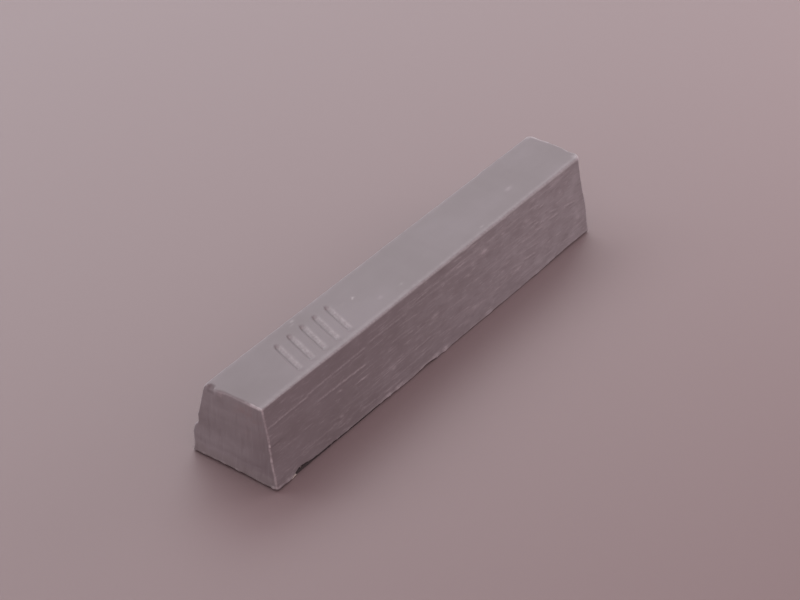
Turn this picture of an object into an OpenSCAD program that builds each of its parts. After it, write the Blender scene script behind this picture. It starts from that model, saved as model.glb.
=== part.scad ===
// Furniture repair wax stick: one solid bar of hard wax, cast in an open mould.
// The wide face, which was the open side of the mould, is the base it lies on.
// Frame: millimetres, +X along the bar, +Z up, origin at the centre of the base.
// The end with the sunk marks is at -X, and the side with the chipped corner at -Y.

/* [Bar] */
// Length of the bar, end to end
bar_l = 81.2; // [60:0.2:100]
// Width of the bar at its base
base_w = 14.8; // [13:0.1:18]
// Width of the flat top face, measured between its two long edges
top_w = 9.95; // [8:0.05:11.5]
// How far the top face sits off the middle of the base, towards the side away from the chipped corner
top_shift = 0.225; // [0:0.025:0.3]
// Height of the bar
bar_h = 12.95; // [10:0.05:15]
// How much shorter the bar is at the top than just above the end bands, both ends together
end_draft = 0.04; // [0:0.02:1.5]

/* [Foot] */
// Height at which the worn bottom edges stand off the table
foot_h = 0.2; // [0.1:0.05:0.5]
// How far in from the outline the flat base starts
foot_in = 1.7; // [0.4:0.1:2]
// Radius of the foot's four corners, seen from above
foot_r = 0.4; // [0.2:0.1:1.5]

/* [End bands] */
// Height of the low band across each end
band_h = 2; // [1.6:0.1:3]
// How far the band stands out beyond the rest of the end
band_step = 0.16; // [0:0.02:0.3]
// Height over which the band runs out into the rest of the end
band_fade = 1; // [0.2:0.1:1.4]

/* [Edges] */
// Radius of the long top edge above the chipped corner
near_edge_r = 0.25; // [0.1:0.05:0.8]
// Radius of the other long top edge
far_edge_r = 0.5; // [0.1:0.05:0.8]
// Radius of the two short top edges
end_edge_r = 0.4; // [0.1:0.05:1]
// Flat worn on each of the four upright corner edges
upright_flat = 0.3; // [0.1:0.05:0.8]

/* [Sunk marks] */
// Number of sunk marks in the row
mark_n = 5; // [0:1:8]
// Distance from the bar's end to the middle of the row
mark_from_end = 17.6; // [12:0.1:30]
// Shift of the row sideways, away from the middle of the top
mark_shift = -0.3; // [-0.5:0.1:0.5]
// Spacing of the marks along the bar
mark_pitch = 2.9; // [2:0.1:4]
// Length of each mark, end to end
mark_l = 6.3; // [3:0.1:6.6]
// Width of each mark
mark_w = 1; // [0.4:0.1:1.2]
// Depth of each mark
mark_d = 0.3; // [0.1:0.05:0.6]
// Slant of the marks, away from straight across the bar
mark_slant = -20; // [-40:1:40]

/* [Chipped corner] */
// Length of the chipped notch along the bar
chip_l = 4; // [2.4:0.1:5]
// Height of the notch's highest point above the table
chip_h = 0.85; // [0.7:0.05:1.5]
// Depth of the notch into the side
chip_d = 0.6; // [0.3:0.05:0.8]
// Distance from the bar's end to the notch
chip_from_end = 3.6; // [1.6:0.1:4.4]

/* [Hidden] */
$fn = 48;
wax = "#6b5a5d";
wax_pale = "#85767a";
eps = 0.01;
// Half width at the foot, and how far the top reaches to either side of the base's middle
base_y = base_w / 2;
near_y = top_w / 2 - top_shift;
far_y = top_w / 2 + top_shift;
// Lean of the two long sides away from upright
near_lean = atan((base_y - near_y) / (bar_h - foot_h));
far_lean = atan((base_y - far_y) / (bar_h - foot_h));
// Half lengths at the foot, just above the end bands and at the top
end_x = bar_l / 2;
mid_x = end_x - band_step;
top_x = mid_x - end_draft / 2;
end_lean = atan((mid_x - top_x) / (bar_h - band_h - band_fade / 2));
// Flat wall at the back of the notch, and the notch's near end
chip_y = -base_y + chip_d;
chip_x = -end_x + chip_from_end;

// Points of a rounded corner: an arc of radius r that leans in by a degrees from upright.
// The corner is the outer one at (x, z); the arc runs from the leaning side to the flat top.
function corner_arc(x, z, r, a, n = 6) =
    let (t = r * tan((90 - a) / 2))
    [for (i = [0 : n])
        let (g = a + (90 - a) * i / n)
        [x - t + r * cos(g), z - r + r * sin(g)]];

function flip(pts) = [for (i = [len(pts) - 1 : -1 : 0]) [-pts[i][0], pts[i][1]]];

// Half of the cross-section, from the base up to the top edge, drawn on the +Y side.
function half_section(top, r, lean) = concat(
    [[base_y - foot_in, 0], [base_y, foot_h]],
    corner_arc(top, bar_h, r, lean));

// Half of the side profile, on the +X side.
half_profile = concat(
    [[end_x - foot_in, 0], [end_x, foot_h], [end_x, band_h - band_fade / 2], [mid_x, band_h + band_fade / 2]],
    corner_arc(top_x, bar_h, end_edge_r, end_lean));

// Cross-section swept along the bar.
module section_body() {
    rotate([90, 0, 90])
        linear_extrude(height = bar_l + 2, center = true)
            polygon(concat(
                half_section(far_y, far_edge_r, far_lean),
                flip(half_section(near_y, near_edge_r, near_lean))));
}

// Side profile swept across the bar: it trims both ends.
module profile_body() {
    rotate([90, 0, 0])
        linear_extrude(height = base_w + 2, center = true)
            polygon(concat(half_profile, flip(half_profile)));
}

// Outline seen from above, with rounded corners.
module plan_body() {
    linear_extrude(height = bar_h + 1)
        union() {
            square([bar_l, base_w - 2 * foot_r], center = true);
            square([bar_l - 2 * foot_r, base_w], center = true);
            for (sx = [-1, 1], sy = [-1, 1])
                translate([sx * (end_x - foot_r), sy * (base_y - foot_r)])
                    circle(r = foot_r);
        }
}

// Cuts a narrow flat along one upright corner edge, on a side that leans in to y = top.
module upright_cut(top, lean) {
    reach = bar_h + 4;
    translate([(mid_x + top_x) / 2, (base_y + top) / 2, (foot_h + bar_h) / 2])
        rotate([lean, 0, 0])
            rotate([0, 0, 45])
                translate([1 - upright_flat / 2, 0, 0])
                    cube([2, 4, reach], center = true);
}

// One sunk mark: a round-ended slot across the bar.
module mark() {
    union() {
        square([mark_w, mark_l - mark_w], center = true);
        for (s = [-1, 1])
            translate([0, s * (mark_l - mark_w) / 2]) circle(d = mark_w);
    }
}

// The whole row of marks.
module mark_row() {
    for (i = [0 : mark_n - 1])
        translate([-end_x + mark_from_end + (i - (mark_n - 1) / 2) * mark_pitch, mark_shift, bar_h - mark_d])
            rotate([0, 0, mark_slant])
                linear_extrude(height = mark_d + 1)
                    mark();
}

// The notch broken out of the bottom edge: a flat back wall under a sloping, stepped roof.
module corner_chip() {
    translate([0, chip_y, 0])
        rotate([90, 0, 0])
            linear_extrude(height = chip_d + 1)
                polygon([
                    [chip_x, -1],
                    [chip_x, chip_h * 0.58],
                    [chip_x + chip_l * 0.2, chip_h * 0.67],
                    [chip_x + chip_l * 0.38, chip_h * 0.83],
                    [chip_x + chip_l * 0.55, chip_h],
                    [chip_x + chip_l * 0.72, chip_h * 0.85],
                    [chip_x + chip_l, chip_h * 0.58],
                    [chip_x + chip_l, -1]]);
}

// The bar: one casting.
module wax_bar() {
    color(wax)
        difference() {
            intersection() {
                section_body();
                profile_body();
                plan_body();
            }
            for (mx = [0, 1])
                mirror([mx, 0, 0]) {
                    upright_cut(far_y, far_lean);
                    mirror([0, 1, 0]) upright_cut(near_y, near_lean);
                }
            if (mark_n > 0) mark_row();
            corner_chip();
        }
}

// One crumb: a chunk with its back flat against the notch's wall, standing on the table.
// w along the bar, d out of the wall, h high, k how far it is skewed.
module crumb(w, d, h, k) {
    linear_extrude(height = h)
        polygon([
            [-w / 2, 0], [-w * 0.42 + k, -d * 0.6], [-w * 0.1 + k, -d],
            [w * 0.3 + k, -d * 0.85], [w / 2, -d * 0.3], [w / 2, 0]]);
}

// The crumbs of broken flash in the notch, none outside the base's outline.
module flash_crumbs() {
    color(wax_pale)
        translate([chip_x, chip_y, 0]) {
            translate([chip_l * 0.1, 0, 0]) crumb(0.7, chip_d * 0.9, chip_h * 0.52, 0.04);
            translate([chip_l * 0.29, 0, 0]) crumb(0.48, chip_d * 0.85, chip_h * 0.42, -0.05);
            translate([chip_l * 0.65, 0, 0]) crumb(0.56, chip_d * 0.75, chip_h * 0.4, 0.03);
        }
}

wax_bar();
flash_crumbs();
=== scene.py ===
import math
import bpy
import numpy as np
from mathutils import Matrix, Vector


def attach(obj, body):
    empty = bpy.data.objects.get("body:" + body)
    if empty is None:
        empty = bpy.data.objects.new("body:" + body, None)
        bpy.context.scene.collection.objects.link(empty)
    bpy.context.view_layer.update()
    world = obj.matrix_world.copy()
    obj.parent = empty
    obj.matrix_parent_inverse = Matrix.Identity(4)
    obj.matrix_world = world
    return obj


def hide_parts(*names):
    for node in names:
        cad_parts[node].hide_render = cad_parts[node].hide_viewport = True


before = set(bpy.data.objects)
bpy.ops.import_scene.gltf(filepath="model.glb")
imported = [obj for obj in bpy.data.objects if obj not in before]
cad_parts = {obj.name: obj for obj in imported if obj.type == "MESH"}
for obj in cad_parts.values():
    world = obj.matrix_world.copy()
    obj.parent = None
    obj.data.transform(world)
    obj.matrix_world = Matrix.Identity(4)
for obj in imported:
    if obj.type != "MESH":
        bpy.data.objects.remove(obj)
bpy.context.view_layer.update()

MM = 0.001
# ------------------------------------------------------------------ sizes, mm
# The shape is laid out with its near end at x = -40; SHIFT then puts the base's middle at the origin.
BASE_W, BAR_H, SHIFT = 14.8, 12.95, -0.65
FOOT_H, BAND_H, BAND_STEP = 0.5, 2.0, 0.16
BASE_Y, TOP_Y, TOP_P = BASE_W / 2, 4.75, 5.2      # the top face runs from -TOP_Y to TOP_P
END_X, FAR_X = 40.0, 40.4
LEAN = math.atan((BASE_Y - TOP_Y) / (BAR_H - FOOT_H))
LEAN_P = math.atan((BASE_Y - TOP_P) / (BAR_H - FOOT_H))
MARK_N, MARK_X, MARK_Y, MARK_PITCH, MARK_L, MARK_W, MARK_D, MARK_SLANT = 5, -22.4, -0.3, 2.9, 6.3, 1.0, 0.32, -20.0


# ------------------------------------------------------------------ camera
def make_camera():
    a, e, r = math.radians(-55.40), math.radians(36.00), math.radians(1.886)
    back = Vector((math.sin(a) * math.cos(e), -math.cos(a) * math.cos(e), math.sin(e)))
    right = Vector((math.cos(a), math.sin(a), 0.0))
    up = back.cross(right)
    right2 = math.cos(r) * right + math.sin(r) * up
    up2 = -math.sin(r) * right + math.cos(r) * up
    target = Vector((6.483 + SHIFT, 5.025, 0.45)) * MM
    cam = bpy.data.cameras.new("camera")
    cam.sensor_width = 36.0
    cam.lens = 2516.4 * 36.0 / 800.0
    cam.clip_start, cam.clip_end = 0.01, 50.0
    cam.dof.use_dof = False
    ob = bpy.data.objects.new("camera", cam)
    bpy.context.scene.collection.objects.link(ob)
    m = Matrix((right2, up2, back)).transposed().to_4x4()
    m.translation = target + back * 0.38296
    ob.matrix_world = m
    bpy.context.scene.camera = ob


make_camera()


# ------------------------------------------------------------------ noise
class Noise:
    """Seeded gradient noise in three dimensions, about -1 to 1."""

    def __init__(self, seed):
        rng = np.random.default_rng(seed)
        self.perm = np.concatenate([rng.permutation(256)] * 3)
        g = rng.normal(size=(256, 3))
        self.grad = g / np.linalg.norm(g, axis=1)[:, None]

    def __call__(self, x, y, z):
        p = np.stack(np.broadcast_arrays(x, y, z), -1).astype(float)
        i = np.floor(p).astype(int)
        f = p - i
        i &= 255
        u = f * f * f * (f * (f * 6 - 15) + 10)
        out = 0.0
        for dx in (0, 1):
            for dy in (0, 1):
                for dz in (0, 1):
                    h = self.perm[self.perm[self.perm[i[..., 0] + dx] + i[..., 1] + dy] + i[..., 2] + dz]
                    g = self.grad[h]
                    d = f - np.array([dx, dy, dz])
                    w = (u[..., 0] if dx else 1 - u[..., 0]) * (u[..., 1] if dy else 1 - u[..., 1]) * (u[..., 2] if dz else 1 - u[..., 2])
                    out = out + w * (g * d).sum(-1)
        return out * 1.6

    def fbm(self, x, y, z, octaves=3, gain=0.5):
        a, s, t = 1.0, 1.0, 0.0
        for _ in range(octaves):
            t = t + a * self(x * s, y * s, z * s)
            a, s = a * gain, s * 2.03
        return t


n_shape, n_edge, n_fine, n_mask = Noise(11), Noise(23), Noise(37), Noise(53)


def smooth(a, b, x):
    t = np.clip((x - a) / (b - a), 0.0, 1.0)
    return t * t * (3 - 2 * t)


def rmax(a, b, r):
    """The larger of two distances, with a circular fillet of radius r where they meet."""
    return np.minimum(np.maximum(a, b), -r) + np.hypot(np.maximum(a + r, 0), np.maximum(b + r, 0))


def smax(a, b, k):
    h = np.clip(0.5 + 0.5 * (a - b) / k, 0, 1)
    return b + (a - b) * h + k * h * (1 - h)


# ------------------------------------------------------------------ the bar's shape
def half_width(z, lean=LEAN):
    """Reach of a long side at height z: one straight draft from the foot to the top."""
    return BASE_Y - (z - FOOT_H) * math.tan(lean)


def end_reach(y, z):
    """How far each end reaches: nearly upright over a low band that flares out."""
    line = BAND_H + 0.22 * np.sin(y * 0.9 + 0.6) + 0.12 * np.sin(y * 2.3)
    t = smooth(line - 1.1, line + 0.7, z)
    return END_X - BAND_STEP * t - 0.002 * np.maximum(z - 3.0, 0)


def mark_field(x, y):
    """For the nearest sunk mark: how far a point is to its right, and how far beyond its ends."""
    sl = math.radians(MARK_SLANT)
    c, s = math.cos(sl), math.sin(sl)
    best, across, beyond = np.full_like(x, 99.0), np.full_like(x, 9.0), np.full_like(x, 9.0)
    for i in range(MARK_N):
        cx = MARK_X + (i - (MARK_N - 1) / 2) * MARK_PITCH
        u = (x - cx) * c + (y - MARK_Y) * s
        v = np.maximum(np.abs(-(x - cx) * s + (y - MARK_Y) * c) - (MARK_L - MARK_W) / 2, 0)
        d = np.hypot(u, v)
        near = d < best
        best, across, beyond = np.where(near, d, best), np.where(near, u, across), np.where(near, v, beyond)
    return best, across, beyond


def marks(x, y):
    """Depth of the sunk marks, 0 to 1: a steep wall on the left, a long soft one on the right,
    with a faint swell around each."""
    d, u, v = mark_field(x, y)
    h = MARK_W / 2
    left = smooth(-h - 0.02, -h + 0.26, u)
    right = 1 - smooth(-h + 0.22, h + 0.12, u) ** 0.9
    tip = 1 - smooth(0.12, h + 0.10, np.hypot(v, 0.35 * np.maximum(np.abs(u) - 0.1, 0)))
    return left * right * tip - 0.12 * np.exp(-((d - h - 0.25) / 0.18) ** 2)


def wobble(x, y, z):
    """Slow unevenness of the casting, read once for each point of the surface."""
    return {
        "n": 0.020 * n_shape(x * 0.11, 0.0, z * 0.25),
        "p": 0.030 * n_shape(x * 0.11, 9.0, z * 0.25),
        "t": 0.012 * n_shape(x * 0.10, y * 0.2, 5.0),
        "b": n_shape(x * 0.2, y * 0.3, 7.0),
        "bn": n_edge.fbm(x * 0.33, 2.0 * np.sign(y), 0.5, 3, 0.55),
        "en": 0.05 * n_shape(1.0, y * 0.25, z * 0.3),
        "ep": 0.05 * n_shape(8.0, y * 0.25, z * 0.3),
        "te": n_edge.fbm(x * 0.35, y * 0.1, 3.3, 4, 0.55),
        "ee": n_edge.fbm(np.sign(x) * 4.0, y * 0.9, 6.1, 3, 0.55),
        "c": n_edge.fbm(x * 1.1, y * 1.1, z * 1.1, 2, 0.5),
        "u": n_edge.fbm(z * 0.8, np.sign(y) * 3.0, np.sign(x) * 5.0, 3, 0.55),
    }


def far_burr(y):
    """How much further the top edge of the far end reaches."""
    return np.interp(y, [-4.75, -4.3, -3.7, -3.0, -2.4, -1.6, -0.6, 0.6, 2.1, 3.7, 4.9, 5.2],
                     [0.12, 0.55, 0.88, 0.80, 0.78, 0.92, 1.08, 1.02, 0.98, 0.90, 0.78, 0.70])


def bump1(t, c, w):
    return np.exp(-((t - c) / w) ** 2)


def solid(x, y, z, w):
    """Signed value of the bar's shape: below 0 inside, mm."""
    hw, hp = half_width(z), half_width(z, LEAN_P)
    cs = math.cos(LEAN)
    # the near long side stands out a little at mid height by the near end, down to a small step
    swell = smooth(-34.0, -39.5, x) * (0.10 * smooth(12.6, 7.6, z) * smooth(6.75, 7.0, z) + 0.05 * bump1(z, 5.6, 0.7) + 0.20 * smooth(3.8, 1.4, z))
    swell = swell + 0.10 * bump1(x, -17.0, 12.0) * smooth(9.5, 12.5, z)
    side_n = (-y - hw - swell + w["n"]) * cs
    # the far long side by the near end: fullest at z = 3.5, under a small step
    full = np.interp(z, [0.45, 1.2, 1.8, 2.35, 3.5, 4.4, 4.90, 5.22, 5.75, 6.4, 6.9, 8.0, 10.3, 11.4, 12.5],
                     [0.0, -0.03, 0.12, 0.34, 0.66, 0.58, 0.50, 0.12, 0.04, 0.18, 0.26, 0.18, 0.13, 0.09, 0.0])
    side_p = (y - hp - full * smooth(-34.0, -38.8, x) + w["p"]) * math.cos(LEAN_P)
    sag = 0.04 * (1 - (y / TOP_Y) ** 2) * (1 - (x / END_X) ** 4)
    top = z - (BAR_H - sag - MARK_D * marks(x, y) + w["t"])
    e = end_reach(y, z)
    # the near end leans across, and its top edge is bruised: pushed out at one place, broken back beside it
    bite = smooth(3.30, 3.60, y) * (1 - smooth(4.30, 4.62, y))
    rim = 0.26 * bump1(y, 2.80, 0.62) * smooth(10.8, 12.6, z) - 0.38 * bite * smooth(12.3, 12.85, z)
    end_n = -x - e - rim - 0.028 * y * smooth(2.5, 9.5, z) + w["en"]
    # the far end stands out more towards the far side, and its top edge is ragged
    skew = 0.70 * smooth(-4.4, -0.5, y)
    skew = skew * smooth(1.0, 10.5, z) + (far_burr(y) - skew) * smooth(11.4, 12.5, z)
    end_p = x - e - (FAR_X - END_X) - 0.40 * bump1(z, 4.5, 2.5) * smooth(0.0, -4.0, y) - skew + w["ep"]
    ends = np.maximum(end_n, end_p)
    sides = np.maximum(side_n, side_p)
    # the base is worn away under its edges, so that it stands a little off the table there
    inward = -np.maximum(ends, sides)
    lift = np.interp(x, LIFT_X, LIFT_Z)
    lift = lift + (np.interp(y, [-7.3, -6.5, -5.6, -3.6, -1.8, 1.2, 3.0, 6.5], [0.32, 0.20, 0.12, 0.10, 0.18, 0.30, 0.20, 0.16]) - lift) * smooth(-38.6, -39.4, x) + 0.04 * w["bn"]
    under = lift * (1 - smooth(0.5, 3.2, inward))
    under = under + 0.02 * smooth(2.0, 7.0, inward) * (1 + w["b"])
    bottom = -z + under
    te = np.clip(w["te"], -1, 1)
    f = rmax(sides, top, np.where(y < 0, 0.18 + 0.14 * smooth(-38.0, -12.0, x) + 0.02 * smooth(-12.0, 30.0, x) + 0.05 * te, 0.52 + 0.10 * te))
    f = rmax(f, bottom, 0.12)
    high = smooth(11.6, 12.4, z)
    return rmax(f, ends, (0.30 + 0.08 * np.clip(w["u"], -1, 1)) * (1 - high) + (np.where(x < 0, 0.36, 0.40) + 0.16 * np.clip(w["ee"], -1, 1)) * high)


def cut(f, p, point, normal, rough, k):
    """Breaks off what lies beyond a plane that is uneven by rough."""
    n = np.array(normal, float)
    n /= np.linalg.norm(n)
    d = (p[0] - point[0]) * n[0] + (p[1] - point[1]) * n[1] + (p[2] - point[2]) * n[2]
    return smax(f, d + rough, k)


# How far the worn bottom edge stands off the table, along the bar
LIFT_X = [-40.0, -39.2, -38.2, -36.5, -30.0, -25.0, -22.0, -16.0, -10.0, -6.6, -4.8, -2.6, -1.4, 1.0, 8.0, 14.0, 22.0, 28.0, 31.0, 36.0, 40.0]
LIFT_Z = [0.34, 0.30, 0.22, 0.16, 0.12, 0.11, 0.11, 0.10, 0.10, 0.18, 0.38, 0.32, 0.10, 0.06, 0.13, 0.09, 0.09, 0.15, 0.28, 0.34, 0.30]


# Small chips: a point on the break, the way it faces, roughness, softness
CHIPS = [
    ((-39.72, -4.30, 12.86), (-0.42, -0.16, 0.89), 0.04, 0.05),
    ((-39.80, 5.05, 12.74), (-0.25, 0.72, 0.64), 0.01, 0.20),
    ((40.86, 5.00, 12.76), (0.60, 0.50, 0.62), 0.03, 0.30),
    ((40.95, -4.05, 12.86), (0.50, -0.30, 0.81), 0.03, 0.20),
    ((40.02, 7.02, 1.25), (0.66, 0.66, -0.35), 0.04, 0.12),
]


def shape(x, y, z, w):
    f = solid(x, y, z, w)
    for point, normal, rough, k in CHIPS:
        near = (np.abs(x - point[0]) < 3) & (np.abs(y - point[1]) < 3) & (np.abs(z - point[2]) < 3)
        q = (x[near], y[near], z[near])
        f[near] = cut(f[near], q, point, normal, rough * w["c"][near], k)
    return f


def notch(x, z):
    """Depth of the crumbled notch in the bottom edge of the near long side, mm."""
    roof = np.interp(x, [-36.8, -36.2, -35.5, -34.9, -34.2, -33.5, -32.4, -31.0, -29.0, -27.0, -24.0, -20.0, -15.0, -11.0, -8.0],
                     [0.10, 0.28, 0.62, 0.80, 0.80, 0.68, 0.52, 0.42, 0.37, 0.34, 0.32, 0.32, 0.30, 0.24, 0.0])
    roof = roof + (0.05 + 0.07 * smooth(-31.0, -33.0, x)) * n_edge.fbm(x * 1.5, 3.0, z * 1.0, 3, 0.6)
    return (0.50 + 0.55 * smooth(-24.0, -31.0, x)) * smooth(0.08, -0.08, z - roof) * smooth(-36.8, -36.0, x) * smooth(-8.0, -12.0, x)


def end_notch(y, z):
    """The same at the near end, where the worn edge is undercut."""
    roof = np.interp(y, [-6.6, -5.0, -3.6, -1.0, 1.0, 4.8, 5.8], [0.0, 0.20, 0.29, 0.38, 0.38, 0.34, 0.0])
    roof = roof + 0.05 * n_edge.fbm(y * 1.5, 5.0, z * 1.0, 3, 0.6)
    return 0.50 * smooth(0.08, -0.08, z - roof) * smooth(-6.6, -5.4, y) * smooth(6.0, 5.0, y)


# ------------------------------------------------------------------ the lattice that carries the surface
def spaced(lo, hi, n, density):
    """n + 1 positions from lo to hi, closer together where density is high."""
    s = np.linspace(lo, hi, 8001)
    c = np.concatenate([[0], np.cumsum((density(s[1:]) + density(s[:-1])) / 2)])
    return np.interp(np.linspace(0, c[-1], n + 1), c, s)


def x_density(s):
    d = np.full_like(s, 1 / 0.46)
    d = np.where(s < -33.0, 1 / 0.19, d)
    d = np.where((s >= -33.0) & (s <= -30.5), 1 / 0.36, d)
    for i in range(MARK_N):
        cx = MARK_X + (i - (MARK_N - 1) / 2) * MARK_PITCH
        d = np.where(np.abs(s - cx) < MARK_W / 2 + 0.42, 1 / 0.30, d)
        d = np.where(np.abs(s - cx) < MARK_W / 2 + 0.14, 1 / 0.105, d)
    return np.where((s < 0.7 - END_X) | (s > FAR_X - 0.7), 1 / 0.085, d)


def y_density(s):
    a = np.abs(s)
    return np.where(a > 0.93, 3.2, np.where(a > 0.68, 1.5, 0.75))


def z_density(s):
    d = np.full_like(s, 1 / 0.130)
    return np.where((s < 1.1) | (s > BAR_H - 0.5), 1 / 0.085, np.where(s < 2.4, 1 / 0.11, d))


NX, NY, NZ = 270, 50, 112
X = spaced(-END_X, FAR_X, NX, x_density)
S = spaced(-1.0, 1.0, NY, y_density)
Z = spaced(0.0, BAR_H, NZ, z_density)


def lattice():
    ii, jj, kk = np.meshgrid(np.arange(NX + 1), np.arange(NY + 1), np.arange(NZ + 1), indexing="ij")
    on = (ii == 0) | (ii == NX) | (jj == 0) | (jj == NY) | (kk == 0) | (kk == NZ)
    index = -np.ones(on.shape, int)
    index[on] = np.arange(on.sum())
    return index, ii[on], jj[on], kk[on]


INDEX, LI, LJ, LK = lattice()


def nominal():
    """Where each lattice point starts, on the bar's sharp envelope. Near the sunk marks the
    lattice is sheared, so that its lines run along them."""
    x, s, z = X[LI], S[LJ], Z[LK]
    w = np.where(s < 0, half_width(z), half_width(z, LEAN_P))
    y = s * w
    win = smooth(-37.5, -30.5, x) * (1 - smooth(-15.0, -8.0, x)) * smooth(3.5, 12.4, z)
    x = x - math.tan(math.radians(MARK_SLANT)) * (np.clip(y, -TOP_Y, TOP_Y) - MARK_Y) * win
    return x, y, z, w


def project_lattice():
    """Slides every lattice point along a ray from the bar's core to the bar's surface."""
    x, y, z, w = nominal()
    m = 1.3
    qx = np.clip(x, -END_X + m, FAR_X - m)
    qy = np.clip(y, -(w - m), w - m)
    qz = np.clip(z, m, BAR_H - m)
    dx, dy, dz = x - qx, y - qy, z - qz
    wob = wobble(x, y, z)
    lo, hi = np.zeros_like(x), np.full_like(x, 1.6)
    for _ in range(17):
        t = (lo + hi) / 2
        inside = shape(qx + dx * t, qy + dy * t, qz + dz * t, wob) < 0
        lo, hi = np.where(inside, t, lo), np.where(inside, hi, t)
    t = (lo + hi) / 2
    return np.stack([qx + dx * t, qy + dy * t, qz + dz * t], 1), wob


def gradient(p, wob):
    h = 0.02
    g = np.zeros_like(p)
    for a in range(3):
        q = p.copy(); q[:, a] += h
        r = p.copy(); r[:, a] -= h
        g[:, a] = shape(q[:, 0], q[:, 1], q[:, 2], wob) - shape(r[:, 0], r[:, 1], r[:, 2], wob)
    return g / np.maximum(np.linalg.norm(g, axis=1), 1e-9)[:, None]


# Scratches and nicks on the near long side: start x, start z, end x, end z, half width, strength
SCRATCHES = [
    (-39.6, 9.96, -30.2, 9.96, 0.14, 0.66), (-31.6, 9.95, -30.2, 9.90, 0.16, 0.7),
    (-30.6, 10.22, -16.6, 10.34, 0.17, 0.52), (-24.6, 10.25, -23.8, 10.3, 0.12, 0.3),
    (-28.7, 8.15, -23.6, 8.02, 0.16, 0.60), (-24.4, 8.05, -17.0, 7.86, 0.17, 0.78),
    (-26.4, 8.3, -25.7, 8.1, 0.10, 0.6), (-24.4, 7.2, -23.0, 6.85, 0.16, 0.8),
    (-25.1, 6.2, -23.9, 5.9, 0.10, 0.5), (-19.4, 6.2, -17.3, 6.0, 0.16, 0.7),
    (-32.8, 5.85, -30.8, 5.6, 0.11, 0.4), (-26.3, 4.6, -25.7, 4.2, 0.10, 0.45),
    (-26.0, 3.6, -24.6, 3.4, 0.12, 0.4), (-25.4, 2.75, -24.2, 2.6, 0.12, 0.5),
    (-34.0, 11.1, -30.6, 10.6, 0.09, 0.3), (-30.5, 2.15, -28.9, 1.9, 0.12, 0.4),
    (-28.5, 1.7, -27.0, 1.3, 0.13, 0.4), (-16.4, 10.66, -6.4, 10.5, 0.16, 0.45),
    (-11.2, 8.0, -9.7, 7.75, 0.10, 0.6), (-7.4, 7.3, -5.5, 7.15, 0.12, 0.6),
    (-4.6, 11.2, -0.6, 11.3, 0.13, 0.5), (-3.1, 7.1, -1.9, 6.8, 0.09, 0.6),
    (-6.5, 4.1, -1.7, 4.2, 0.10, 0.4), (-5.8, 2.6, -2.3, 2.5, 0.11, 0.4),
    (-0.9, 9.3, 0.9, 9.1, 0.12, 0.4), (2.3, 4.7, 3.6, 4.2, 0.08, 0.35),
    (10.2, 11.2, 12.0, 11.4, 0.10, 0.35), (17.7, 11.6, 19.3, 11.4, 0.12, 0.3),
    (23.6, 10.9, 24.4, 10.5, 0.12, 0.6), (27.3, 11.0, 28.6, 10.6, 0.11, 0.8),
    (28.2, 10.35, 29.7, 10.25, 0.10, 0.9), (24.6, 9.1, 27.1, 8.7, 0.12, 0.6),
    (26.6, 8.35, 27.9, 8.1, 0.12, 0.9), (28.0, 8.0, 29.2, 7.6, 0.11, 0.9), (30.6, 8.4, 32.6, 7.9, 0.11, 0.8),
    (26.4, 7.3, 28.6, 6.9, 0.12, 0.75), (30.2, 7.3, 33.4, 7.0, 0.12, 0.75), (34.6, 7.4, 38.0, 6.8, 0.12, 0.7),
    (22.4, 4.2, 25.9, 3.8, 0.13, 0.8), (21.5, 5.6, 26.0, 5.2, 0.10, 0.45), (19.4, 4.4, 22.6, 3.9, 0.12, 0.5),
    (27.8, 3.8, 30.1, 2.6, 0.16, 0.35), (30.2, 2.9, 32.5, 2.2, 0.12, 0.3),
]
# Blisters and smears there: x, z, half length, half height, how far out, how pale
BLOBS = [
    (13.1, 10.35, 0.90, 0.50, 0.12, 0.60), (-0.55, 6.65, 0.85, 0.30, 0.06, 0.50), (9.1, 3.1, 1.00, 0.34, 0.05, 0.42),
    (8.5, 8.75, 0.80, 0.22, 0.03, 0.25), (24.5, 9.75, 0.60, 0.30, 0.05, 0.40), (20.9, 3.45, 0.95, 0.32, 0.04, 0.35),
    (-24.2, 3.2, 0.34, 0.22, 0.05, 0.6), (-11.6, 3.95, 0.60, 0.28, 0.04, 0.4), (37.9, 3.9, 0.50, 0.28, 0.04, 0.4),
    (35.7, 1.7, 0.70, 0.28, 0.03, 0.3), (6.6, 1.85, 0.80, 0.30, 0.03, 0.3), (-20.0, 5.6, 0.5, 0.3, -0.04, 0.1),
]


def line_field(x, z, lines):
    out = np.zeros_like(x)
    for x0, z0, x1, z1, hw, st in lines:
        t = np.clip((x - x0) / (x1 - x0), 0, 1)
        near = (x > x0 - 0.5) & (x < x1 + 0.5)
        zc = z0 + (z1 - z0) * t + 0.03 * np.sin(x * 2.9 + z0 * 7)
        ends = smooth(x0 - 0.3, x0 + 0.8, x) * (1 - smooth(x1 - 0.8, x1 + 0.3, x))
        out = np.maximum(out, np.where(near, st * ends * np.exp(-((z - zc) / hw) ** 2), 0))
    return out


def random_lines(seed, n, lo, hi, mean, wide=(0.06, 0.13), strong=(0.10, 0.40)):
    rng = np.random.default_rng(seed)
    out = []
    for _ in range(n):
        x0 = rng.uniform(lo, hi)
        ln = min(rng.exponential(mean) + 0.5, 20.0)
        z0 = rng.uniform(1.3, 12.3)
        sl = rng.normal(0.0, 0.02) - 0.25 / (1 + ln)
        x1 = min(x0 + ln, 39.6)
        if x1 - x0 < 0.4:
            continue
        out.append((x0, z0, x1, z0 + sl * (x1 - x0), rng.uniform(*wide), rng.uniform(*strong)))
    return out


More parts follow.
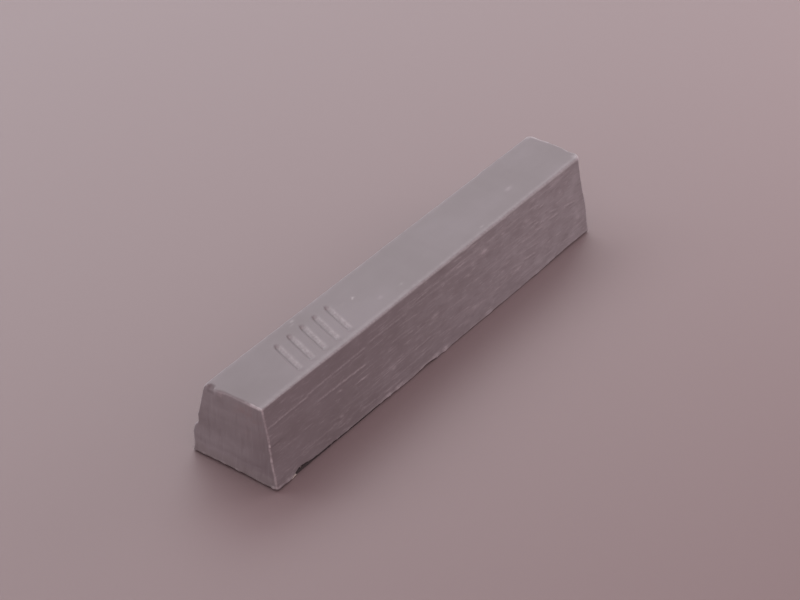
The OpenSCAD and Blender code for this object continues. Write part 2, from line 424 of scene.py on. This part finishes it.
LINES_NEAR = (SCRATCHES + random_lines(5, 110, -39, 36, 1.6) + random_lines(6, 90, 8, 38, 1.3)
              + random_lines(8, 50, -39.4, 30, 7.0, wide=(0.06, 0.09), strong=(0.18, 0.46)))
LINES_FAR = random_lines(7, 150, -39.5, 36, 2.0) + random_lines(9, 24, -39, 10, 8.0, strong=(0.2, 0.6))


def build_bar():
    p, wob = project_lattice()
    n = gradient(p, wob)
    x, y, z = p.T
    front = smooth(0.55, 0.85, -n[:, 1])      # the near long side
    rear = smooth(0.55, 0.85, n[:, 1])        # the other long side
    ends = smooth(0.6, 0.9, np.abs(n[:, 0]))
    top = smooth(0.6, 0.9, n[:, 2])
    sides = np.maximum(front, rear)

    ln = line_field(x, z + 0.17, LINES_NEAR) * front + line_field(x, z, LINES_FAR) * rear
    # painted shade: a darker line just under each scratch of the list
    scratch_painted_shade = line_field(x, z + 0.40, SCRATCHES) * front
    disp = np.zeros_like(x)
    # drag marks: very long in x, fine in z
    drag = n_fine.fbm(x * 0.10, y * 0.0 + 2.0, z * 3.1, 3, 0.6)
    lumpy = n_fine.fbm(x * 0.55, 4.0 * np.sign(y), z * 1.1, 4, 0.6)
    more = 0.45 + 0.55 * smooth(-10.0, 30.0, x)
    disp += sides * (0.004 * drag + 0.020 * more * lumpy)
    disp -= ln * 0.034
    pale_and_painted_highlight = np.zeros_like(x)
    for bx, bz, rx, rz, hgt, light in BLOBS:
        b = np.exp(-((x - bx + 0.5 * (z + 0.12 - bz)) / rx) ** 2 - ((z + 0.12 - bz) / rz) ** 2) * front
        disp += hgt * b
        pale_and_painted_highlight = np.maximum(pale_and_painted_highlight, light * b)
    disp += ends * (0.018 * n_fine.fbm(y * 1.3, z * 0.30, x * 0.1, 4, 0.55))
    disp -= ends * (n[:, 0] < 0) * 0.14 * np.exp(-((y + 4.2) ** 2 + (z - 2.70) ** 2) / 0.17 ** 2)
    disp += ends * (n[:, 0] < 0) * 0.05 * np.exp(-((y + 4.35) ** 2 + (z - 2.35) ** 2) / 0.16 ** 2)
    disp += top * 0.004 * n_fine.fbm(x * 0.6, y * 0.6, 1.0, 3, 0.5)
    # specks and scuffs on the top face
    for sx, sy, rx, ry, hgt, light in ((-11.4, 0.97, 0.22, 0.16, 0.11, 0.9), (-11.7, 0.55, 0.25, 0.12, -0.04, 0.0), (-8.9, -2.1, 0.36, 0.18, 0.04, 0.35),
                                       (-4.3, -2.6, 0.35, 0.16, 0.02, 0.25), (26.1, -0.95, 0.70, 0.22, 0.04, 0.33), (-21.3, 4.35, 0.38, 0.24, 0.05, 0.36),
                                       (-21.9, 3.9, 0.45, 0.15, -0.03, 0.2), (-13.6, 1.2, 0.15, 0.12, -0.03, 0.2), (15.0, -3.5, 0.45, 0.14, 0.03, 0.3)):
        b = top * np.exp(-((x - sx) / rx) ** 2 - ((y - sy) / ry) ** 2)
        disp += hgt * b
        pale_and_painted_highlight = np.maximum(pale_and_painted_highlight, light * b)
    # small nicks along the upright corner edge that faces the camera, with painted highlights on the raised ones
    corner = smooth(0.3, 0.6, -n[:, 0]) * smooth(0.3, 0.6, -n[:, 1])
    for zz, hgt, light in ((12.35, 0.06, 1.0), (7.05, 0.09, 1.0), (6.6, -0.07, 0.0), (4.85, 0.05, 0.9), (9.7, -0.04, 0.1), (3.4, 0.03, 0.4), (1.9, -0.05, 0.1)):
        b = corner * np.exp(-((z - zz) / 0.21) ** 2)
        disp += hgt * b
        pale_and_painted_highlight = np.maximum(pale_and_painted_highlight, light * b)

    # flash: a thin ragged lip along the bottom edges
    low = smooth(0.95, 0.50, z) * smooth(0.06, 0.20, z)
    ragged = np.clip(n_edge.fbm(x * 0.45, 1.0 + np.sign(y), 0.0, 4, 0.6) + 0.1, 0, 1.4)
    lip = low * sides * (0.07 * ragged + 0.03 * smooth(-20.5, -19.0, x) * (1 - smooth(-4.0, -2.4, x)) * front)
    burr = 0.13 * bump1(x, -13.6, 0.5) + 0.12 * bump1(x, -11.3, 0.45) + 0.12 * bump1(x, -1.8, 0.8) + 0.10 * bump1(x, 0.6, 0.5)
    lip += low * front * (burr + 0.08 * bump1(x, -39.3, 0.40) + 0.08 * bump1(x, -37.6, 0.35))
    low_end = smooth(0.95, 0.55, z) * smooth(0.12, 0.30, z) * ends
    lip += low_end * np.clip(0.08 * n_edge.fbm(y * 0.8, 5.0, np.sign(x), 4, 0.6) + 0.01 + 0.12 * bump1(y, -7.0, 0.35), 0, 0.3)
    disp += lip
    # a pale line just above the worn foot of the long sides: part flash, part painted highlight
    foot = np.interp(x, LIFT_X, LIFT_Z) + 0.17 + 0.12 * smooth(-9.0, -13.0, x)
    seam_and_highlight = bump1(z, foot, 0.09) * sides * np.clip(0.45 + 0.9 * ragged, 0, 1) * (0.42 + 0.30 * smooth(-22.0, -12.0, x) - 0.30 * smooth(0.0, 20.0, x))
    pale_and_painted_highlight = np.maximum(pale_and_painted_highlight, seam_and_highlight)
    # crumbled notch in the bottom edge, near the corner
    nt = notch(x, z) * smooth(0.2, 0.7, -n[:, 1])
    p = p + n * disp[:, None]
    p[:, 1] += nt
    ne = end_notch(y, z) * smooth(0.2, 0.7, -n[:, 0])
    p[:, 0] += ne
    p[:, 2] = np.maximum(p[:, 2], 0.0)

    # masks, kept on the points for the material
    fray = n_fine.fbm(x * 1.2, y * 1.2, z * 0.8, 3, 0.6)
    # painted light: a paler band low on each end, where the foot flares out towards the light
    band_line = BAND_H - 0.15 + 0.22 * np.sin(y * 0.9 + 0.6) + 0.12 * np.sin(y * 2.3)
    # painted shade: the end is painted darker low down and towards the chipped corner, with less bloom there
    low_corner_painted_shade = np.maximum(0.22 * smooth(5.0, 2.0, z) * smooth(2.5, 0.0, y), 0.16 * smooth(9.0, 6.0, z) * smooth(-1.0, -3.5, y))
    # bloom with painted light: the near long side and the top paler towards the far end, the ends paler high up and
    # darker towards the near long side
    bloom_and_painted_light = front * (0.21 + 0.49 * smooth(-34.0, 34.0, x)) + rear * 0.40 + ends * (0.56 + 0.20 * smooth(8.0, 11.5, z) - 0.28 * smooth(-1.5, -5.5, y) - low_corner_painted_shade) + top * 0.10 * smooth(-34.0, 0.0, x)
    # painted highlight, with some rubbed wear: a pale strip along the top's long edges, strongest on the near side
    rim = top * smooth(0.95, 0.50, np.where(y < 0, TOP_Y + y, TOP_P - y) - 0.08 * fray) * (0.80 + 0.45 * np.clip(fray, -1, 1)) * np.where(y < 0, 1.0, 0.4)
    # pale strips, part rubbing and part painted highlight: the near end's top edge by the corner, the far end's top
    # edge and its corners
    high = smooth(12.45, 12.7, z)
    pale_and_painted_highlight = np.maximum(pale_and_painted_highlight, high * smooth(-39.25, -39.5, x) * smooth(-2.0, -3.3, y + 0.5 * fray) * smooth(0.15, 0.6, -n[:, 0]) * np.clip(0.9 + 0.5 * fray, 0.3, 1))
    crest = np.interp(y, [-4.8, -3.9, -2.8, -1.6, 1.2, 1.9, 5.2], [0.60, 0.62, 0.36, 0.34, 0.36, 0.66, 0.80])
    pale_and_painted_highlight = np.maximum(pale_and_painted_highlight, high * smooth(0.55 + 0.35 * crest, 0.10, FAR_X - 0.18 + far_burr(y) - x) * np.clip(crest * (1 + 0.7 * fray), 0, 1))
    pale_and_painted_highlight = np.maximum(pale_and_painted_highlight, high * smooth(39.3, 40.2, x) * np.where(y < 0, smooth(-3.2, -4.2, y) * 0.40, smooth(4.2, 4.8, y) * 0.3))
    # painted shade: the facet broken out beside the near end's far top corner keeps the darker colour and is painted
    # darker still
    facet_painted_shade = smooth(3.3, 3.6, y) * smooth(4.66, 4.48, y) * smooth(-38.9, -39.2, x) * smooth(11.6, 12.1, z)
    # the pale wear and painted highlight on the rounded edges are faint along the near end's top edge, but for its
    # corner
    quiet = 1 - 0.65 * smooth(-39.0, -39.4, x) * smooth(-2.6, -1.2, y) * smooth(4.9, 4.6, y)
    # sunk marks: painted shade as a dark crease under the steep wall, deepest at the upper half, and painted light
    # on the paler far slope
    md, mu, mv = mark_field(p[:, 0], p[:, 1])
    on_top = smooth(BAR_H - 0.6, BAR_H - 0.45, p[:, 2])
    h = MARK_W / 2
    reach = 1 - smooth(0.0, h + 0.05, mv)
    half = 0.35 + 0.65 * smooth(-0.6, 1.2, (p[:, 1] - MARK_Y))
    crease_painted_shade = np.exp(-((mu + h - 0.14) / 0.13) ** 2) * reach * half * on_top
    slope = smooth(-h + 0.30, -h + 0.55, mu) * (1 - smooth(h - 0.05, h + 0.22, mu)) * reach * on_top
    pale_and_painted_highlight = np.maximum(pale_and_painted_highlight, slope * (0.32 + 0.14 * np.clip(fray, -1, 1)))
    clear = 1 - on_top * (1 - smooth(h + 0.3, h + 0.6, md))
    # the upright corner edge is palest, as wear and painted highlight, around the small nicks
    worn_and_highlight = np.where(p[:, 1] < 0, 0.29 + 0.28 * smooth(7.4, 6.9, z) + 0.7 * (bump1(z, 12.3, 0.3) + bump1(z, 7.05, 0.25) + bump1(z, 4.85, 0.25)), 0.5)
    masks = {
        "scratch": ln,
        "scratch_painted_shade": scratch_painted_shade,
        "pale_and_painted_highlight": pale_and_painted_highlight * (1 - facet_painted_shade),
        "sides": sides,
        "ends": ends,
        "top": top,
        "edge": gradient_turn(p, n) * (1 - facet_painted_shade) * quiet * clear,
        "facet_painted_shade": facet_painted_shade * smooth(0.12, 0.35, -n[:, 0]),
        "upright": smooth(0.16, 0.42, np.abs(n[:, 0])) * smooth(0.16, 0.42, np.abs(n[:, 1])) * (1 - facet_painted_shade) * worn_and_highlight * (0.85 + 0.3 * np.clip(fray, -1, 1)),
        "rim": rim,
        "band": ends * smooth(band_line + 0.25, band_line - 0.15, z + 0.12 * fray),
        "bloom_and_painted_light": bloom_and_painted_light * (0.85 + 0.3 * n_fine.fbm(x * 0.25, 3.0, z * 0.4, 3, 0.6)),
        # painted shade: the crumbled notches are painted near black
        "broken": np.maximum(nt, ne) / 0.25,
        "lip": lip / 0.15,
        # painted shade in the creases of the sunk marks
        "marks": crease_painted_shade,
        # painted shade: the lowest, downward-facing rounding of the foot
        "under": smooth(0.50, 0.35, z) * smooth(-0.04, -0.34, n[:, 2]),
        "warm": ends * (x < 0) * bump1(y, -2.6, 2.4) * bump1(z, 10.4, 2.6),
        "near": 1 - smooth(-22.0, 14.0, x),
    }
    return p, {k: np.clip(v, 0, 1) for k, v in masks.items()}


def gradient_turn(p, n):
    """How far the normal is from every flat face: 1 on rounded edges."""
    axes = np.array([[0, 0, 1], [0, 0, -1], [1, 0, 0], [-1, 0, 0],
                     [0, math.cos(LEAN_P), math.sin(LEAN_P)], [0, -math.cos(LEAN), math.sin(LEAN)],
                     [0, 1, 0], [0, -1, 0]], float)
    d = (n @ axes.T).max(1)
    return smooth(0.985, 0.90, d)


def quads():
    """Faces of the six sides, wound outwards, and the side each belongs to."""
    out, tag = [], []

    def side(a, flip, t):
        q = np.stack([a[:-1, :-1], a[1:, :-1], a[1:, 1:], a[:-1, 1:]], -1).reshape(-1, 4)
        out.append(q[:, ::-1] if flip else q)
        tag.append(np.full(len(q), t))

    side(INDEX[:, :, NZ], False, 0)   # top
    side(INDEX[:, :, 0], True, 1)     # bottom
    side(INDEX[:, 0, :], False, 2)    # near long side, -Y
    side(INDEX[:, NY, :], True, 3)    # other long side, +Y
    side(INDEX[0, :, :], True, 4)     # near end, -X
    side(INDEX[NX, :, :], False, 5)   # far end, +X
    return np.concatenate(out), np.concatenate(tag)


def mesh_object(name, verts, faces, smooth_faces=True):
    me = bpy.data.meshes.new(name)
    me.from_pydata(((verts + np.array([SHIFT, 0.0, 0.0])) * MM).tolist(), [], faces.tolist() if hasattr(faces, "tolist") else faces)
    me.validate()
    me.update()
    if smooth_faces:
        me.polygons.foreach_set("use_smooth", [True] * len(me.polygons))
    ob = bpy.data.objects.new(name, me)
    bpy.context.scene.collection.objects.link(ob)
    return ob


def add_uv(ob, verts, faces, tag):
    """One strip for each face of the bar, side by side, in the proportions of the real thing."""
    uv = ob.data.uv_layers.new(name="OFBake")
    k = 0.975 / 81.5
    rows = {1: (7.6, 0.4), 2: (0.0, 16.4), 3: (0.0, 30.2), 0: (5.0, 44.0)}
    co = np.zeros((len(faces) * 4, 2))
    v = verts[faces].reshape(-1, 3)
    t = np.repeat(tag, 4)
    slope = 1 / math.cos(LEAN)
    for face, (shift, base) in rows.items():
        m = t == face
        a = v[m, 1] + shift if face in (0, 1) else v[m, 2] * slope
        co[m, 0] = (v[m, 0] + 40.3) * k + 0.0125
        co[m, 1] = (a + base) * k + 0.01
    for face, x0 in ((4, 8.2), (5, 25.2)):
        m = t == face
        co[m, 0] = (v[m, 1] + x0) * k + 0.0125
        co[m, 1] = (v[m, 2] + 55.6) * k + 0.01
    uv.data.foreach_set("uv", co.ravel())


# ------------------------------------------------------------------ node helpers
class Nodes:
    def __init__(self, name):
        self.mat = bpy.data.materials.new(name)
        self.mat.use_nodes = True
        self.tree = self.mat.node_tree
        self.tree.nodes.clear()
        self.out = self.tree.nodes.new("ShaderNodeOutputMaterial")
        self.bsdf = self.tree.nodes.new("ShaderNodeBsdfPrincipled")
        self.link(self.bsdf.outputs[0], self.out.inputs[0])

    def link(self, a, b):
        self.tree.links.new(a, b)

    def node(self, kind, **inputs):
        n = self.tree.nodes.new(kind)
        for k, v in inputs.items():
            self.put(n.inputs[k.replace("_", " ")], v)
        return n

    def put(self, socket, v):
        if isinstance(v, bpy.types.NodeSocket):
            self.link(v, socket)
        else:
            socket.default_value = v

    def attr(self, name):
        n = self.tree.nodes.new("ShaderNodeAttribute")
        n.attribute_name = name
        return n.outputs["Fac"]

    def coords(self, scale=(1, 1, 1), rot=(0, 0, 0)):
        tc = self.tree.nodes.new("ShaderNodeTexCoord")
        mp = self.tree.nodes.new("ShaderNodeMapping")
        mp.inputs["Scale"].default_value = scale
        mp.inputs["Rotation"].default_value = rot
        self.link(tc.outputs["Object"], mp.inputs["Vector"])
        return mp.outputs[0]

    def noise(self, vec, scale, detail=4.0, rough=0.5, distort=0.0):
        n = self.tree.nodes.new("ShaderNodeTexNoise")
        self.link(vec, n.inputs["Vector"])
        n.inputs["Scale"].default_value = scale
        n.inputs["Detail"].default_value = detail
        n.inputs["Roughness"].default_value = rough
        n.inputs["Distortion"].default_value = distort
        return n.outputs["Fac"]

    def ramp(self, fac, lo, hi, a=0.0, b=1.0, smoothstep=True):
        n = self.tree.nodes.new("ShaderNodeMapRange")
        n.interpolation_type = "SMOOTHSTEP" if smoothstep else "LINEAR"
        self.put(n.inputs["Value"], fac)
        n.inputs["From Min"].default_value = lo
        n.inputs["From Max"].default_value = hi
        n.inputs["To Min"].default_value = a
        n.inputs["To Max"].default_value = b
        return n.outputs["Result"]

    def math(self, op, a, b=0.0, clamp=False):
        n = self.tree.nodes.new("ShaderNodeMath")
        n.operation = op
        n.use_clamp = clamp
        self.put(n.inputs[0], a)
        self.put(n.inputs[1], b)
        return n.outputs[0]

    def mix(self, fac, a, b, mode="MIX"):
        n = self.tree.nodes.new("ShaderNodeMix")
        n.data_type = "RGBA"
        n.blend_type = mode
        n.clamp_factor = True
        self.put(n.inputs["Factor"], fac)
        self.put(n.inputs["A"], a)
        self.put(n.inputs["B"], b)
        return [o for o in n.outputs if o.type == "RGBA"][0]

    def bump(self, height, strength, distance, normal=None):
        n = self.tree.nodes.new("ShaderNodeBump")
        n.inputs["Strength"].default_value = strength
        n.inputs["Distance"].default_value = distance
        self.put(n.inputs["Height"], height)
        if normal is not None:
            self.link(normal, n.inputs["Normal"])
        return n.outputs[0]


def srgb(r, g, b):
    def c(v):
        v /= 255.0
        return v / 12.92 if v <= 0.04045 else ((v + 0.055) / 1.055) ** 2.4
    return (c(r), c(g), c(b), 1.0)


# ------------------------------------------------------------------ wax
WAX_DARK, WAX_MID, WAX_PALE, WAX_CHALK, WAX_BAND_PAINTED_LIGHT = srgb(100, 91.5, 94), srgb(106, 97.5, 101), srgb(137.5, 132.5, 136), srgb(164, 157, 160), srgb(115, 108, 110)


def wax_material():
    m = Nodes("wax")
    b = m.bsdf
    obj = m.coords()
    sides, ends = m.attr("sides"), m.attr("ends")
    rubbed = m.math("ADD", sides, m.math("MULTIPLY", ends, 0.55), clamp=True)
    # bloom in soft lumps of a millimetre or so, drawn out along the bar
    lumps = m.noise(m.coords(scale=(0.55, 1, 1)), 620, 5, 0.62)
    fine = m.noise(obj, 2600, 4, 0.6)
    drag = m.noise(m.coords(scale=(0.16, 1, 1)), 1500, 4, 0.6)
    broad = m.noise(m.coords(scale=(0.5, 1, 1)), 110, 3, 0.55)
    far = m.math("SUBTRACT", 1.0, m.attr("near"))
    c = m.mix(m.ramp(broad, 0.35, 0.65), WAX_DARK, WAX_MID)
    # bloom and painted light: pale lumps where the mask is high, paler towards the far end
    c = m.mix(m.math("MULTIPLY", m.attr("bloom_and_painted_light"), m.ramp(lumps, 0.30, 0.70, 0.70, 0.98)), c, WAX_PALE)
    c = m.mix(m.math("MULTIPLY", m.math("MULTIPLY", rubbed, m.math("ADD", 0.45, m.math("MULTIPLY", far, 0.55))), m.ramp(lumps, 0.54, 0.74, 0.0, 0.17)), c, WAX_PALE)
    c = m.mix(m.math("MULTIPLY", sides, m.ramp(drag, 0.54, 0.74, 0.0, 0.18)), c, WAX_PALE)
    # painted light on the low band of the ends
    c = m.mix(m.math("MULTIPLY", m.attr("band"), m.ramp(lumps, 0.30, 0.70, 0.60, 1.0)), c, WAX_BAND_PAINTED_LIGHT)
    c = m.mix(m.math("MULTIPLY", m.attr("warm"), m.ramp(lumps, 0.40, 0.66, 0.0, 0.55)), c, srgb(114, 93, 94))
    # upright drag lines on the ends
    grain = m.noise(m.coords(scale=(1, 1, 0.14)), 1900, 3, 0.55)
    c = m.mix(m.math("MULTIPLY", ends, m.ramp(grain, 0.54, 0.72, 0.0, 0.22)), c, WAX_PALE)
    c = m.mix(m.math("MULTIPLY", ends, m.ramp(grain, 0.46, 0.30, 0.0, 0.20)), c, srgb(84, 74, 76))
    # hair-fine drag lines on the long sides: long ones everywhere, short strokes towards the far end
    hair = m.noise(m.coords(scale=(0.05, 1, 1), rot=(0.0, 0.012, 0.0)), 3400, 3, 0.6)
    patch = m.noise(m.coords(scale=(0.4, 1, 1)), 260, 3, 0.6)
    hair = m.math("MULTIPLY", m.ramp(hair, 0.58, 0.70), m.ramp(patch, 0.40, 0.66))
    c = m.mix(m.math("MULTIPLY", sides, m.math("MULTIPLY", hair, 0.38)), c, WAX_CHALK)
    stroke = m.noise(m.coords(scale=(0.16, 1, 1), rot=(0.0, 0.03, 0.0)), 3600, 3, 0.55)
    much = m.math("MULTIPLY", sides, m.math("ADD", 0.60, m.math("MULTIPLY", far, 0.40)))
    c = m.mix(m.math("MULTIPLY", much, m.ramp(stroke, 0.58, 0.72, 0.0, 0.30)), c, WAX_CHALK)
    c = m.mix(m.math("MULTIPLY", much, m.ramp(stroke, 0.44, 0.30, 0.0, 0.24)), c, srgb(84, 75, 77))
    # pale chalk: real scratches and flash lip, and wear with painted highlights on the rims, rounded edges, upright
    # corner and pale marks
    for name, lo, hi in (("scratch", 0.36, 0.84), ("rim", 0.10, 0.16), ("edge", 0.12, 0.30),
                         ("upright", 0.45, 0.85), ("lip", 0.25, 0.70), ("pale_and_painted_highlight", 0.55, 1.00)):
        c = m.mix(m.math("MULTIPLY", m.attr(name), m.ramp(fine, 0.35, 0.62, lo, hi)), c, WAX_CHALK)
    # painted shade under the scratches
    c = m.mix(m.math("MULTIPLY", m.attr("scratch_painted_shade"), 0.42), c, srgb(74, 65, 67))
    # painted shade: the crumbled notches near black
    c = m.mix(m.math("MULTIPLY", m.attr("broken"), 0.96), c, srgb(28, 15, 17))
    # painted shade on the broken facet by the near end's far top corner
    c = m.mix(m.math("MULTIPLY", m.attr("facet_painted_shade"), 0.30), c, srgb(84, 76, 78))
    # painted shade: the dark creases of the sunk marks
    c = m.mix(m.math("MULTIPLY", m.attr("marks"), 0.75), c, srgb(66, 58, 61))
    # painted shade under the foot, near black
    c = m.mix(m.math("MULTIPLY", m.attr("under"), 0.9), c, srgb(40, 31, 32))
    m.put(b.inputs["Base Color"], c)
    r = m.ramp(broad, 0.3, 0.7, 0.42, 0.44)
    r = m.math("ADD", r, m.math("MULTIPLY", rubbed, 0.10))
    r = m.math("ADD", r, m.math("MULTIPLY", m.attr("scratch"), 0.10), clamp=True)
    r = m.math("ADD", r, m.math("MULTIPLY", m.attr("broken"), 0.45), clamp=True)
    m.put(b.inputs["Roughness"], r)
    b.inputs["IOR"].default_value = 1.45
    b.inputs["Specular IOR Level"].default_value = 0.5
    n = m.bump(fine, 0.12, 0.00003)
    n = m.bump(m.math("MULTIPLY", lumps, rubbed), 0.30, 0.00005, n)
    m.put(b.inputs["Normal"], n)
    return m.mat


def crumb_material():
    m = Nodes("wax_crumb")
    b = m.bsdf
    fine = m.noise(m.coords(), 3500, 5, 0.65)
    c = m.mix(m.ramp(fine, 0.35, 0.62), srgb(140, 131, 127), srgb(214, 209, 200))
    m.put(b.inputs["Base Color"], c)
    m.put(b.inputs["Roughness"], m.ramp(fine, 0.3, 0.7, 0.5, 0.7))
    b.inputs["IOR"].default_value = 1.45
    m.put(b.inputs["Normal"], m.bump(fine, 0.5, 0.00005))
    return m.mat


def floor_material():
    """A pale sheet, graduated a little from one side to the other: painted light and shade for the light's fall-off,
    darker and redder on the near side.
    """
    m = Nodes("table")
    b = m.bsdf
    fine = m.noise(m.coords(), 900, 3, 0.5)
    tc = m.tree.nodes.new("ShaderNodeTexCoord")
    dot = m.tree.nodes.new("ShaderNodeVectorMath")
    dot.operation = "DOT_PRODUCT"
    m.link(tc.outputs["Object"], dot.inputs[0])
    a = math.radians(FLOOR_TURN)
    dot.inputs[1].default_value = (math.sin(a), math.cos(a), 0.0)
    c = m.mix(m.ramp(dot.outputs["Value"], -0.11, 0.11, smoothstep=False), FLOOR_NEAR_PAINTED_SHADE, FLOOR_FAR_PAINTED_LIGHT)
    m.put(b.inputs["Base Color"], c)
    b.inputs["Roughness"].default_value = 0.5
    b.inputs["IOR"].default_value = 1.4
    m.put(b.inputs["Normal"], m.bump(fine, 0.12, 0.00006))
    return m.mat


FLOOR_TURN = 10.0
# painted light and shade on the floor: darker near, lighter far
FLOOR_NEAR_PAINTED_SHADE, FLOOR_FAR_PAINTED_LIGHT = srgb(112.2, 94.1, 94.8), srgb(126.2, 115, 116.8)


# ------------------------------------------------------------------ make the bar
verts, masks = build_bar()
faces, tag = quads()
bar = mesh_object("wax_bar_cast", verts, faces)
add_uv(bar, verts, faces, tag)
for name, v in masks.items():
    a = bar.data.attributes.new(name, "FLOAT", "POINT")
    a.data.foreach_set("value", v.astype(np.float32))
bar.data.materials.append(wax_material())
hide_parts("wax_bar")
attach(bar, "root")


# ------------------------------------------------------------------ crumbs in the notch
def crumb_mesh(name, centre, size, seed, sub=14):
    """An irregular chunk: a subdivided cube pushed in by random planes and roughened."""
    rng = np.random.default_rng(seed)
    g = np.linspace(-1, 1, sub + 1)
    idx, vs = {}, []
    for i in range(sub + 1):
        for j in range(sub + 1):
            for k in range(sub + 1):
                if i in (0, sub) or j in (0, sub) or k in (0, sub):
                    idx[i, j, k] = len(vs)
                    vs.append((g[i], g[j], g[k]))
    fs = []
    for a in range(sub):
        for c in range(sub):
            for e, flip in ((0, True), (sub, False)):
                for q in (
                    [(a, c, e), (a + 1, c, e), (a + 1, c + 1, e), (a, c + 1, e)],
                    [(c, e, a), (c, e, a + 1), (c + 1, e, a + 1), (c + 1, e, a)],
                    [(e, a, c), (e, a + 1, c), (e, a + 1, c + 1), (e, a, c + 1)],
                ):
                    q = [idx[t] for t in q]
                    fs.append(q[::-1] if flip else q)
    v = np.array(vs)
    v /= np.linalg.norm(v, axis=1)[:, None]
    nrm = rng.normal(size=(11, 3))
    nrm /= np.linalg.norm(nrm, axis=1)[:, None]
    off = rng.uniform(0.55, 0.95, 11)
    d = v @ nrm.T
    t = np.where(d > 1e-3, off / np.maximum(d, 1e-3), 9.0).min(1)
    t = np.minimum(t, 1.15)
    t = t * (1 + 0.10 * n_edge.fbm(v[:, 0] * 2 + seed, v[:, 1] * 2, v[:, 2] * 2, 3, 0.6))
    v = v * t[:, None] * (np.array(size) / 2)
    v += np.array(centre)
    v[:, 2] = np.maximum(v[:, 2], 0.005)
    return mesh_object(name, v, np.array(fs))


crumb_mat = crumb_material()
for i, (c, s) in enumerate([
    ((-36.22, -7.40, 0.27), (0.78, 0.54, 0.48)),
    ((-35.62, -7.30, 0.14), (0.40, 0.34, 0.24)),
    ((-33.80, -6.84, 0.10), (0.40, 0.30, 0.18)),
]):
    ob = crumb_mesh("flash_crumb_%d" % (i + 1), c, s, 70 + i)
    ob.data.materials.append(crumb_mat)
    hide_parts("flash_crumbs")
    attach(ob, "root")


# ------------------------------------------------------------------ floor, lights, world
def make_floor():
    n = 24
    s = np.linspace(-1, 1, n + 1)
    s = np.sign(s) * np.abs(s) ** 2 * 4.0
    v = np.array([(a, b, -0.00002) for a in s for b in s])
    f = [(i * (n + 1) + j, (i + 1) * (n + 1) + j, (i + 1) * (n + 1) + j + 1, i * (n + 1) + j + 1) for i in range(n) for j in range(n)]
    ob = mesh_object("table", v / MM, f)
    ob.data.materials.append(floor_material())


def area(name, direction, distance, size, power, color=(1, 1, 1)):
    d = Vector(direction).normalized()
    li = bpy.data.lights.new(name, "AREA")
    li.shape = "RECTANGLE"
    li.size, li.size_y = size
    li.energy = power
    li.color = color
    ob = bpy.data.objects.new(name, li)
    ob.matrix_world = d.to_track_quat("Z", "Y").to_matrix().to_4x4()
    ob.location = d * distance
    bpy.context.scene.collection.objects.link(ob)
    return ob


def on_compass(az, el):
    a, e = math.radians(az), math.radians(el)
    return (math.sin(a) * math.cos(e), math.cos(a) * math.cos(e), math.sin(e))


make_floor()
# compass angles: 0 is +Y, 90 is +X. The camera looks towards about 55.
KEY, GLOSS = on_compass(20, 46), on_compass(36, 46)
area("key", KEY, 0.60, (1.20, 0.26), 3.98, (0.915, 1.0, 1.012)).visible_glossy = False
area("key_gloss", GLOSS, 0.61, (0.70, 0.26), 0.9, (0.92, 0.995, 1.0))
area("side_fill", on_compass(118, 22), 0.20, (0.13, 0.08), 0.12, (1.0, 0.97, 0.98)).visible_glossy = False
area("fill", on_compass(262, 11), 0.60, (0.40, 0.20), 0.40, (0.93, 1.0, 1.0))


def make_world():
    """Soft light from all round, a little warmer from the camera's side of the room."""
    world = bpy.data.worlds.new("studio")
    bpy.context.scene.world = world
    world.use_nodes = True
    t = world.node_tree
    bg = t.nodes["Background"]
    tc = t.nodes.new("ShaderNodeTexCoord")
    dot = t.nodes.new("ShaderNodeVectorMath")
    dot.operation = "DOT_PRODUCT"
    t.links.new(tc.outputs["Generated"], dot.inputs[0])
    dot.inputs[1].default_value = on_compass(50, 10)
    ramp = t.nodes.new("ShaderNodeMapRange")
    ramp.interpolation_type = "SMOOTHSTEP"
    ramp.inputs["From Min"].default_value = -0.6
    ramp.inputs["From Max"].default_value = 0.6
    t.links.new(dot.outputs["Value"], ramp.inputs["Value"])
    mix = t.nodes.new("ShaderNodeMix")
    mix.data_type = "RGBA"
    t.links.new(ramp.outputs["Result"], mix.inputs["Factor"])
    mix.inputs["A"].default_value = (1.00, 0.75, 0.775, 1)
    mix.inputs["B"].default_value = (0.84, 0.75, 0.775, 1)
    t.links.new([o for o in mix.outputs if o.type == "RGBA"][0], bg.inputs[0])
    bg.inputs[1].default_value = 1.0


make_world()

vs = bpy.context.scene.view_settings
vs.view_transform = "Standard"
vs.look = "None"
vs.exposure = 0.0
vs.gamma = 1.0

# ------------------------------------------------------------------ final update
bpy.context.view_layer.update()
